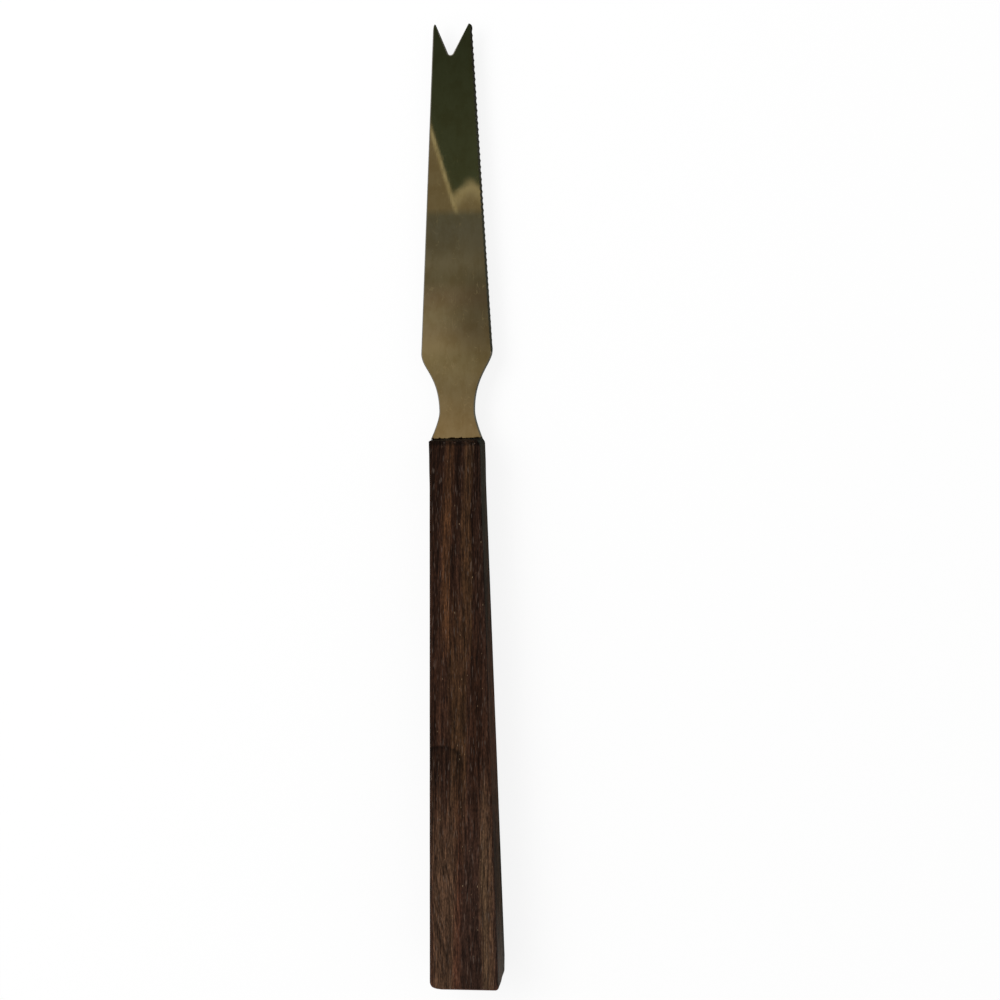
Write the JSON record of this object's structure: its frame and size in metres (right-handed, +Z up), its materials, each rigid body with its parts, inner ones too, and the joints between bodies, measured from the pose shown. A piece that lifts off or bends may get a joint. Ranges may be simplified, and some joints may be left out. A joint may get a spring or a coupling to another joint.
{
  "type": "bar knife",
  "caption": "Slim bar knife with a flat forked blade, serrated along one edge, on a tapered square wooden handle, for slicing fruit and lifting the pieces.",
  "frame": {"origin": "on the ground under the middle of the knife's box, with the back face of the handle lying on the ground", "axes": "+Y along the knife towards the fork, +X towards the serrated edge, +Z up out of the front face"},
  "size_m": [0.018, 0.24, 0.0158],
  "materials": {
    "polished_stainless": "polished stamped stainless with fine use scratches, ground along the serrated edge",
    "rosewood": "oiled dark rosewood, straight grain with open pores, satin",
    "set_adhesive": "cured amber adhesive, dull"
  },
  "bodies": {
    "root": {"blade": "polished_stainless", "handle": "rosewood", "tang_adhesive": "set_adhesive"}
  },
  "joints": []
}
